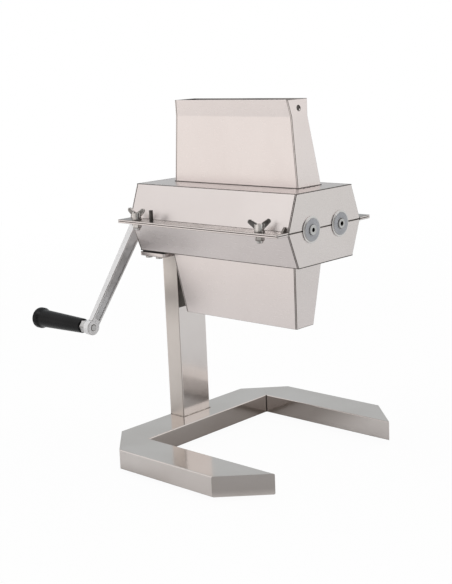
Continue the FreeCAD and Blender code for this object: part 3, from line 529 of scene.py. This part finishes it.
# lengths in millimetres: two corners of the rectangle, the height, and how far the bead reaches out and in
beads = {
    "weldPostFoot": {"low": (-58.5, -25), "high": (-35.35, 25), "level": 30, "rise": 0.8, "width": 0.8,
                     "under": 0.4, "rounding": 0.25, "finish": "weldSteel", "body": "stand"},
    "weldChute": {"low": (-31.35, -34.5), "high": (169.15, 15.5), "level": 254.5, "rise": -0.8, "width": 0.8,
                  "under": 0.4, "rounding": 0.25, "finish": "weldSeamAndBendShade", "body": "stand"},
    # the next two are dark strips on the bends of the tub's bottom and the cover's top: painted shade, not
    # welds
    "bendShadeTubBottom": {"low": (-71.85, -51), "high": (188.15, 51), "level": 254.4, "rise": 1.0, "width": 0.3,
                      "under": 0.9, "rounding": 0.2, "finish": "weldSeamAndBendShade", "body": "stand"},
    "bendShadeCoverTop": {"low": (-71.85, -51.5), "high": (188.15, 51.5), "level": 339.25, "rise": 0.8,
                     "width": 0.2, "under": 0.9, "rounding": 0.2, "finish": "weldSeamAndBendShade", "body": "cover"},
    "weldHopper": {"low": (-42.35, -12), "high": (158.65, 31), "level": 340, "rise": 0.8, "width": 0.7,
                   "under": 0.4, "rounding": 0.25, "finish": "weldSeamAndBendShade", "body": "cover"},
}
for name, bead in beads.items():
    makeBead(name, bead)


# only the rims of the seams are rounded, so the angle lies above that between their sides
seamForm = {"sides": 10, "angle": 60}


def makeSeam(name, c):
    # an upright seam in a corner, or a flat spot of weld
    bpy.ops.object.select_all(action="DESELECT")
    spot = (c["spot"][0] * mm, c["spot"][1] * mm, c["low"] * mm)
    bpy.ops.mesh.primitive_circle_add(vertices=seamForm["sides"], radius=c["radius"] * mm, fill_type="NGON",
                                      location=spot)
    piece = startPiece(name)
    rise = (0, 0, (c["high"] - c["low"]) * mm)
    bpy.ops.mesh.extrude_region_move(TRANSFORM_OT_translate={"value": rise})
    endPiece(piece, c, "weldSeamAndBendShade", seamForm["angle"])


seams = {
    "cornerSeamFront": {"spot": (-10.35, -113), "low": 5.5, "high": 29.5, "radius": 0.9, "rounding": 0.2,
                        "body": "stand"},
    "cornerSeamRear": {"spot": (-10.35, 113), "low": 5.5, "high": 29.5, "radius": 0.9, "rounding": 0.2,
                       "body": "stand"},
}
tackWeld = {"low": 339.8, "high": 340.9, "radius": 1.3, "rounding": 0.4, "body": "cover"}
for number, spot in enumerate(((160.4, -3), (160.4, 6), (160.4, 15))):
    seams["tackWeld" + str(number)] = {"spot": spot, **tackWeld}
for name, seam in seams.items():
    makeSeam(name, seam)


def makeGusset(g):
    # a small three-cornered plate between the flange and the front of the cover
    (x0, y0, z0), (x1, y1, z1) = g["low"], g["high"]
    bpy.ops.object.select_all(action="DESELECT")
    middle = ((x0 + x1) / 2 * mm, (y0 + y1) / 2 * mm, (z0 + z1) / 2 * mm)
    bpy.ops.mesh.primitive_cube_add(size=1, location=middle)
    bpy.context.active_object.scale = ((x1 - x0) * mm, (y1 - y0) * mm, (z1 - z0) * mm)
    piece = startPiece("coverGusset")
    slope = (0, z0 - z1, y1 - y0)
    bpy.ops.mesh.bisect(plane_co=(x0 * mm, y0 * mm, z0 * mm), plane_no=slope, use_fill=True, clear_outer=True)
    # the plate is coated all over in the dark edge colour, which is painted shade
    endPiece(piece, g, "paintedEdgeShade")


makeGusset({"low": (180.5, -73.0, 298.5), "high": (183.5, -65.6, 304.5), "rounding": 0.25, "body": "cover"})
print("wing nuts and welds made")


def calculate(tree, operation, first, second):
    node = tree.nodes.new("ShaderNodeMath")
    node.operation = operation
    for place, value in enumerate((first, second)):
        if isinstance(value, (int, float)):
            node.inputs[place].default_value = value
        else:
            tree.links.new(value, node.inputs[place])
    return node.outputs["Value"]


def fadeBetween(tree, value, start, end):
    fade = tree.nodes.new("ShaderNodeMapRange")
    fade.interpolation_type = "SMOOTHSTEP"
    fade.inputs["From Min"].default_value = start
    fade.inputs["From Max"].default_value = end
    tree.links.new(value, fade.inputs["Value"])
    return fade.outputs["Result"]


def along(tree, vector, aim):
    dot = tree.nodes.new("ShaderNodeVectorMath")
    dot.operation = "DOT_PRODUCT"
    dot.inputs[1].default_value = aim
    tree.links.new(vector, dot.inputs[0])
    return dot.outputs["Value"]


def mixShaders(tree, share, first, second):
    blend = tree.nodes.new("ShaderNodeMixShader")
    tree.links.new(share, blend.inputs["Fac"])
    tree.links.new(first, blend.inputs[1])
    tree.links.new(second, blend.inputs[2])
    return blend.outputs["Shader"]


def glow(tree, colour):
    light = tree.nodes.new("ShaderNodeEmission")
    light.inputs["Color"].default_value = (*colour, 1)
    return light.outputs["Emission"]


def makeFloor(f):
    # seen directly the floor is nearly the white backdrop and keeps a faint shadow; in reflections it
    # turns into the glow of the room with distance, with a painted grey zone in front and a painted shadow
    # near the post
    bpy.ops.object.select_all(action="DESELECT")
    bpy.ops.mesh.primitive_plane_add(size=f["size"], location=(0, 0, 0))
    floor = bpy.context.active_object
    floor.name = "floor"
    material, shader = newMaterial("floorWhite", f["colour"], 0.0, f["roughness"])
    tree = material.node_tree
    coordinates = tree.nodes.new("ShaderNodeTexCoord")
    place = coordinates.outputs["Object"]
    distance = tree.nodes.new("ShaderNodeVectorMath")
    distance.operation = "LENGTH"
    tree.links.new(place, distance.inputs[0])
    far = fadeBetween(tree, distance.outputs["Value"], f["fadeStart"], f["fadeEnd"])
    path = tree.nodes.new("ShaderNodeLightPath")
    seenShare = calculate(tree, "ADD", calculate(tree, "MULTIPLY", far, 1 - f["whiteShare"]), f["whiteShare"])
    seen = calculate(tree, "MULTIPLY", path.outputs["Is Camera Ray"], seenShare)
    behind = fadeBetween(tree, along(tree, place, f["backwards"]), *f["behind"])
    # a painted grey zone on the floor in front, seen only in reflections
    heading = tree.nodes.new("ShaderNodeVectorMath")
    heading.operation = "NORMALIZE"
    tree.links.new(place, heading.inputs[0])
    headedForwards = along(tree, heading.outputs["Vector"], f["forwards"])
    toCamera = fadeBetween(tree, headedForwards, f["greyStart"], f["greyEnd"])
    ahead = fadeBetween(tree, along(tree, place, f["forwards"]), f["greyNear"], f["greyFar"])
    toCamera = calculate(tree, "MULTIPLY", toCamera, ahead)
    # a painted shadow on the floor near the post, seen only in reflections
    near = fadeBetween(tree, distance.outputs["Value"], f["underEnd"], f["underStart"])
    towardsPost = fadeBetween(tree, along(tree, place, (1, 0, 0)), *f["underAcross"])
    under = calculate(tree, "MULTIPLY", near, towardsPost)
    backdropGlow = mixShaders(tree, behind, glow(tree, f["frontGlow"]), glow(tree, f["backGlow"]))
    mirrored = calculate(tree, "MULTIPLY", path.outputs["Is Glossy Ray"], far)
    surface = mixShaders(tree, mirrored, shader.outputs["BSDF"], backdropGlow)
    paintedGrey = calculate(tree, "MULTIPLY", path.outputs["Is Glossy Ray"],
                       calculate(tree, "MULTIPLY", toCamera, f["greyShare"]))
    surface = mixShaders(tree, paintedGrey, surface, glow(tree, f["paintedGreyGlow"]))
    paintedShadow = calculate(tree, "MULTIPLY", path.outputs["Is Glossy Ray"],
                       calculate(tree, "MULTIPLY", under, f["underShare"]))
    surface = mixShaders(tree, paintedShadow, surface, glow(tree, f["paintedShadowGlow"]))
    surface = mixShaders(tree, seen, surface, glow(tree, (1, 1, 1)))
    tree.links.new(surface, tree.nodes["Material Output"].inputs["Surface"])
    floor.data.materials.append(material)


makeFloor({"size": 40, "colour": (0.90, 0.90, 0.90), "roughness": 0.9, "whiteShare": 0.96,
           "fadeStart": 0.55, "fadeEnd": 2.2, "frontGlow": (1.10, 1.06, 1.02), "backGlow": (0.78, 0.81, 0.80),
           "backwards": (0.68, 0.73, 0), "behind": (-0.5, 0.5), "forwards": (0.69, -0.72, 0),
           "greyStart": 0.80, "greyEnd": 0.93, "greyNear": 0.215, "greyFar": 0.25, "greyShare": 0.55,
           "paintedGreyGlow": (0.14, 0.135, 0.13), "underStart": 0.14, "underEnd": 0.20, "underAcross": (0.13, 0.03),
           "underShare": 0.6, "paintedShadowGlow": (0.13, 0.11, 0.095)})


# a mix node has sockets for every kind of value, and these are the ones for colours
mixSockets = {"share": 0, "first": 6, "second": 7, "result": 2}


def dim(tree, colour, direction, aim, start, end, share, shade):
    # turns the room's colour to a darker one round one direction
    amount = calculate(tree, "MULTIPLY", fadeBetween(tree, along(tree, direction, aim), start, end), share)
    mix = tree.nodes.new("ShaderNodeMix")
    mix.data_type = "RGBA"
    mix.inputs[mixSockets["second"]].default_value = (*shade, 1)
    tree.links.new(amount, mix.inputs[mixSockets["share"]])
    tree.links.new(colour, mix.inputs[mixSockets["first"]])
    return mix.outputs[mixSockets["result"]]


def makeWorld(w):
    world = bpy.data.worlds.new("studio")
    scene.world = world
    world.use_nodes = True
    tree = world.node_tree
    backdrop = tree.nodes["Background"]
    backdrop.inputs["Color"].default_value = (1, 1, 1, 1)
    backdrop.inputs["Strength"].default_value = 1.0
    room = tree.nodes.new("ShaderNodeBackground")
    room.inputs["Strength"].default_value = w["strength"]
    coordinates = tree.nodes.new("ShaderNodeTexCoord")
    direction = coordinates.outputs["Generated"]
    split = tree.nodes.new("ShaderNodeSeparateXYZ")
    ramp = tree.nodes.new("ShaderNodeValToRGB")
    ramp.color_ramp.elements[0].position = 0.0
    ramp.color_ramp.elements[0].color = (*w["horizon"], 1)
    ramp.color_ramp.elements[1].position = 1.0
    ramp.color_ramp.elements[1].color = (*w["zenith"], 1)
    for place, colour in w["between"]:
        ramp.color_ramp.elements.new(place).color = (*colour, 1)
    tree.links.new(direction, split.inputs["Vector"])
    tree.links.new(split.outputs["Z"], ramp.inputs["Fac"])
    colour = ramp.outputs["Color"]
    for shade in w["shades"]:
        colour = dim(tree, colour, direction, *shade)
    tree.links.new(colour, room.inputs["Color"])
    path = tree.nodes.new("ShaderNodeLightPath")
    blend = tree.nodes.new("ShaderNodeMixShader")
    tree.links.new(path.outputs["Is Camera Ray"], blend.inputs["Fac"])
    tree.links.new(room.outputs["Background"], blend.inputs[1])
    tree.links.new(backdrop.outputs["Background"], blend.inputs[2])
    tree.links.new(blend.outputs["Shader"], tree.nodes["World Output"].inputs["Surface"])


# the room is bright near the horizon, grey behind the machine and dark behind the camera
# a shade is a direction, where it starts and ends as a cosine, its share and its colour
makeWorld({"strength": 1.0, "horizon": (1.0, 0.985, 0.97), "zenith": (0.85, 0.85, 0.86),
           "between": [(0.15, (1.0, 0.985, 0.97)), (0.45, (0.9, 0.89, 0.88))],
           "shades": [((-0.66, 0.73, 0.18), 0.35, 0.85, 0.92, (0.54, 0.57, 0.58)),
                      ((0.67, -0.72, 0.2), 0.35, 0.9, 0.80, (0.05, 0.05, 0.05))]})


def makeLamp(name, f):
    data = bpy.data.lights.new(name, "AREA")
    data.shape = "RECTANGLE"
    data.size = f["width"]
    data.size_y = f["height"]
    data.energy = f["energy"]
    data.color = f["colour"]
    lamp = bpy.data.objects.new(name, data)
    scene.collection.objects.link(lamp)
    aim = Vector(f["aim"]) - Vector(f["place"])
    turn = aim.to_track_quat("-Z", "Y").to_matrix().to_4x4()
    lamp.matrix_world = Matrix.Translation(Vector(f["place"])) @ turn


makeLamp("softboxLeft", {"width": 1.0, "height": 1.0, "energy": 7, "colour": (1, 0.985, 0.97),
                         "place": (-0.8, -1.1, 2.0), "aim": (0, 0, 0.25)})
makeLamp("softboxAbove", {"width": 1.4, "height": 1.4, "energy": 4, "colour": (1, 1, 1),
                          "place": (0.5, 0.4, 2.2), "aim": (0, 0, 0.2)})
print("studio lit")
